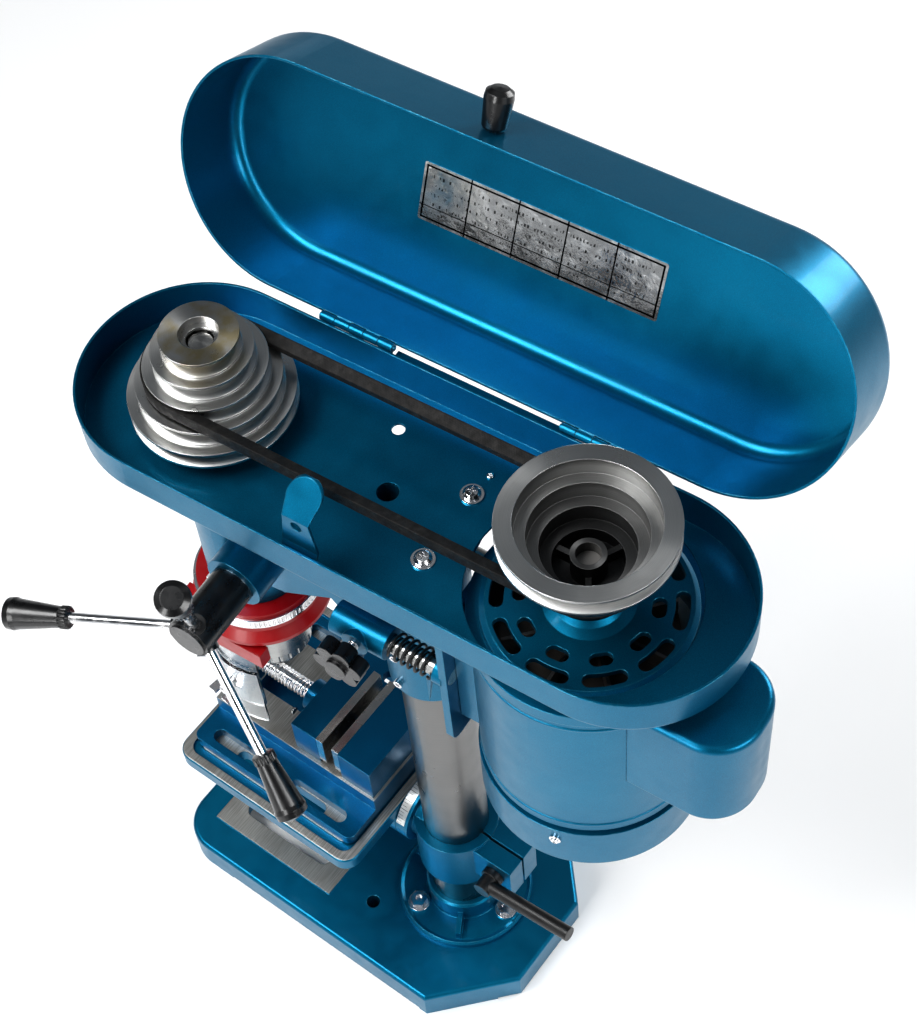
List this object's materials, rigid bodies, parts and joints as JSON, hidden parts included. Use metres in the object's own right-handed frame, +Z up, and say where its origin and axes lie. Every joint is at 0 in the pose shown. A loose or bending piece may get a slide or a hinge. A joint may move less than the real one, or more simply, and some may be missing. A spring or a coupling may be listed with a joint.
{
  "type": "drill press",
  "caption": "Bench drill press: round column, belt head with an open lid, stepped pulleys and motor, lever feed, tilting table with a vise, and a clear chuck guard.",
  "frame": {"origin": "midway between the two bench bolt holes, at bench level", "axes": "+Z up, -Y to the front where the operator stands, +X to the operator's right, the side of the feed handles"},
  "size_m": [0.3363, 0.4582, 0.7088],
  "materials": {
    "teal_paint": "metallic gloss enamel",
    "royal_paint": "gloss enamel",
    "red_paint": "gloss",
    "cast_aluminium": "turned",
    "ground_steel": "ground",
    "bright_steel": "plated",
    "black_plastic": "moulded",
    "black_steel": "black oxide",
    "belt_rubber": "wrapped",
    "clear_plastic": "clear",
    "motor_steel": "laminated",
    "green_button": "moulded",
    "red_button": "moulded"
  },
  "bodies": {
    "stand": {"base": "teal_paint", "column": "ground_steel", "column_flange": "teal_paint", "flange_bolts": "bright_steel", "head_casting": "teal_paint", "head_fasteners": "bright_steel", "sleeve_bearings": "bright_steel", "spring_cap": "black_plastic", "return_spring": "ground_steel", "belt_guard_pan": "teal_paint", "pan_hinges": "teal_paint", "latch_tab": "teal_paint", "switch_box": "black_plastic", "guard_collar": "red_paint", "tension_spring": "black_steel", "v_belt": "belt_rubber"},
    "lid": {"lid": "teal_paint"},
    "lid_knob": {"lid_knob": "black_plastic"},
    "pulley": {"spindle_pulley": "cast_aluminium", "pulley_sleeve": "ground_steel"},
    "motor": {"motor_plate": "teal_paint", "slide_rods": "ground_steel", "motor_shell": "teal_paint", "motor_base_cap": "teal_paint", "motor_end_bell": "teal_paint", "motor_bearings": "bright_steel", "stator": "motor_steel", "capacitor_box": "teal_paint"},
    "rotor": {"rotor": "motor_steel", "motor_pulley": "cast_aluminium"},
    "slide_lock": {"slide_lock_knob": "black_plastic"},
    "quill": {"quill": "ground_steel", "quill_bearings": "bright_steel"},
    "spindle": {"spindle": "ground_steel", "chuck_body": "ground_steel"},
    "chuck_sleeve": {"chuck_sleeve": "ground_steel"},
    "chuck_jaw_1": {"chuck_jaw_1": "ground_steel"},
    "chuck_jaw_2": {"chuck_jaw_2": "ground_steel"},
    "chuck_jaw_3": {"chuck_jaw_3": "ground_steel"},
    "feed": {"feed_shaft": "ground_steel", "feed_hub": "black_plastic", "feed_rods": "bright_steel", "feed_knobs": "black_plastic"},
    "guard_arm": {"guard_arm": "red_paint", "guard_shield_upper": "clear_plastic"},
    "guard_slide": {"guard_shield_lower": "clear_plastic"},
    "wing_nut_1": {"wing_nut_1": "bright_steel"},
    "wing_nut_2": {"wing_nut_2": "bright_steel"},
    "start_button": {"start_button": "green_button"},
    "stop_button": {"stop_button": "red_button"},
    "table_bracket": {"table_bracket": "teal_paint"},
    "clamp_lever": {"table_clamp_lever": "black_steel"},
    "table": {"table": "teal_paint", "table_bolts": "bright_steel", "vise_base": "royal_paint", "fixed_jaw_plate": "ground_steel"},
    "moving_jaw": {"moving_jaw": "royal_paint", "moving_jaw_plate": "ground_steel"},
    "vise_screw": {"vise_screw": "bright_steel"},
    "vise_handle": {"vise_handle": "bright_steel"}
  },
  "joints": [
    {"name": "lid_hinge", "type": "hinge", "parent": "stand", "child": "lid", "pos_m": [-0.07339, 0.04348, 0.556], "axis": [-0.075, 0.9972, 0], "range_deg": [0, 112]},
    {"name": "lid_knob_turn", "type": "hinge", "parent": "lid", "child": "lid_knob", "pos_m": [-0.14121, 0.0103, 0.68417], "axis": [-0.3736, -0.0281, 0.9272], "range_deg": [-180, 180]},
    {"name": "motor_slide", "type": "slide", "parent": "stand", "child": "motor", "axis": [-0.075, 0.9972, 0], "range_m": [-0.008, 0], "deforming": ["v_belt", "tension_spring"]},
    {"name": "rotor_spin", "type": "hinge", "parent": "motor", "child": "rotor", "pos_m": [-0.00855, 0.16268, 0.45], "axis": [0, 0, 1], "continuous": true},
    {"name": "pulley_spin", "type": "hinge", "parent": "stand", "child": "pulley", "pos_m": [0.01012, -0.08562, 0.56], "axis": [0, 0, 1], "continuous": true},
    {"name": "slide_lock_turn", "type": "hinge", "parent": "stand", "child": "slide_lock", "pos_m": [0.06111, 0.03655, 0.44], "axis": [0.9972, 0.075, 0], "range_deg": [-90, 180]},
    {"name": "quill_slide", "type": "slide", "parent": "stand", "child": "quill", "axis": [0, 0, -1], "range_m": [0, 0.05]},
    {"name": "spindle_spin", "type": "hinge", "parent": "quill", "child": "spindle", "pos_m": [0.01012, -0.08562, 0.4], "axis": [0, 0, 1], "continuous": true},
    {"name": "chuck_sleeve_turn", "type": "hinge", "parent": "spindle", "child": "chuck_sleeve", "pos_m": [0.01012, -0.08562, 0.298], "axis": [0, 0, 1], "range_deg": [-575.5, 2505.1]},
    {"name": "chuck_jaw_1_slide", "type": "slide", "parent": "spindle", "child": "chuck_jaw_1", "axis": [0.2138, 0.1459, 0.9659], "range_m": [-0.004, 0.0174]},
    {"name": "chuck_jaw_2_slide", "type": "slide", "parent": "spindle", "child": "chuck_jaw_2", "axis": [-0.2332, 0.1122, 0.9659], "range_m": [-0.004, 0.0174]},
    {"name": "chuck_jaw_3_slide", "type": "slide", "parent": "spindle", "child": "chuck_jaw_3", "axis": [0.0194, -0.2581, 0.9659], "range_m": [-0.004, 0.0174]},
    {"name": "feed_turn", "type": "hinge", "parent": "stand", "child": "feed", "pos_m": [0.0078, -0.05471, 0.439], "axis": [0.9972, 0.075, 0], "range_deg": [0, 286.4], "stiffness_Nm_per_rad": 0.25, "springref_deg": -114.59},
    {"name": "guard_flip", "type": "hinge", "parent": "stand", "child": "guard_arm", "pos_m": [0.05044, -0.10164, 0.348], "axis": [-0.075, 0.9972, 0], "range_deg": [-100, 0]},
    {"name": "guard_extend", "type": "slide", "parent": "guard_arm", "child": "guard_slide", "axis": [0, 0, 1], "range_m": [0, 0.02]},
    {"name": "wing_nut_1_turn", "type": "hinge", "parent": "guard_arm", "child": "wing_nut_1", "pos_m": [0.03499, -0.11947, 0.268], "axis": [0.592, -0.8059, 0], "range_deg": [-360, 360]},
    {"name": "wing_nut_2_turn", "type": "hinge", "parent": "guard_arm", "child": "wing_nut_2", "pos_m": [0.05174, -0.09125, 0.268], "axis": [0.991, -0.134, 0], "range_deg": [-360, 360]},
    {"name": "start_press", "type": "slide", "parent": "stand", "child": "start_button", "axis": [0.9972, 0.075, 0], "range_m": [0, 0.0025], "stiffness_N_per_m": 400},
    {"name": "stop_press", "type": "slide", "parent": "stand", "child": "stop_button", "axis": [0.9972, 0.075, 0], "range_m": [0, 0.003], "stiffness_N_per_m": 400},
    {"name": "bracket_slide", "type": "slide", "parent": "stand", "child": "table_bracket", "axis": [0, 0, -1], "range_m": [-0.024, 0.042]},
    {"name": "clamp_lever_turn", "type": "hinge", "parent": "table_bracket", "child": "clamp_lever", "pos_m": [0.025, 0.093, 0.13], "axis": [1, 0, 0], "range_deg": [-30, 60]},
    {"name": "table_tilt", "type": "hinge", "parent": "table_bracket", "child": "table", "pos_m": [0, 0.009, 0.133], "axis": [0, 1, 0], "range_deg": [-45, 45]},
    {"name": "jaw_slide", "type": "slide", "parent": "table", "child": "moving_jaw", "axis": [0, -1, 0], "range_m": [-0.0075, 0.035]},
    {"name": "vise_screw_turn", "type": "hinge", "parent": "moving_jaw", "child": "vise_screw", "pos_m": [0, -0.121, 0.196], "axis": [0, 1, 0], "range_deg": [-901, 4201]},
    {"name": "vise_handle_slide", "type": "slide", "parent": "vise_screw", "child": "vise_handle", "axis": [0, 0, 1], "range_m": [0, 0.043]}
  ],
  "couplings": [
    {"joint": "pulley_spin", "follows": "rotor_spin", "ratio": 1},
    {"joint": "spindle_spin", "follows": "rotor_spin", "ratio": 1},
    {"joint": "quill_slide", "follows": "feed_turn", "m_per_rad": 0.01},
    {"joint": "vise_screw_turn", "follows": "jaw_slide", "rad_per_m": 2094.4},
    {"joint": "chuck_jaw_1_slide", "follows": "chuck_sleeve_turn", "m_per_rad": 0.00039789},
    {"joint": "chuck_jaw_2_slide", "follows": "chuck_sleeve_turn", "m_per_rad": 0.00039789},
    {"joint": "chuck_jaw_3_slide", "follows": "chuck_sleeve_turn", "m_per_rad": 0.00039789}
  ]
}
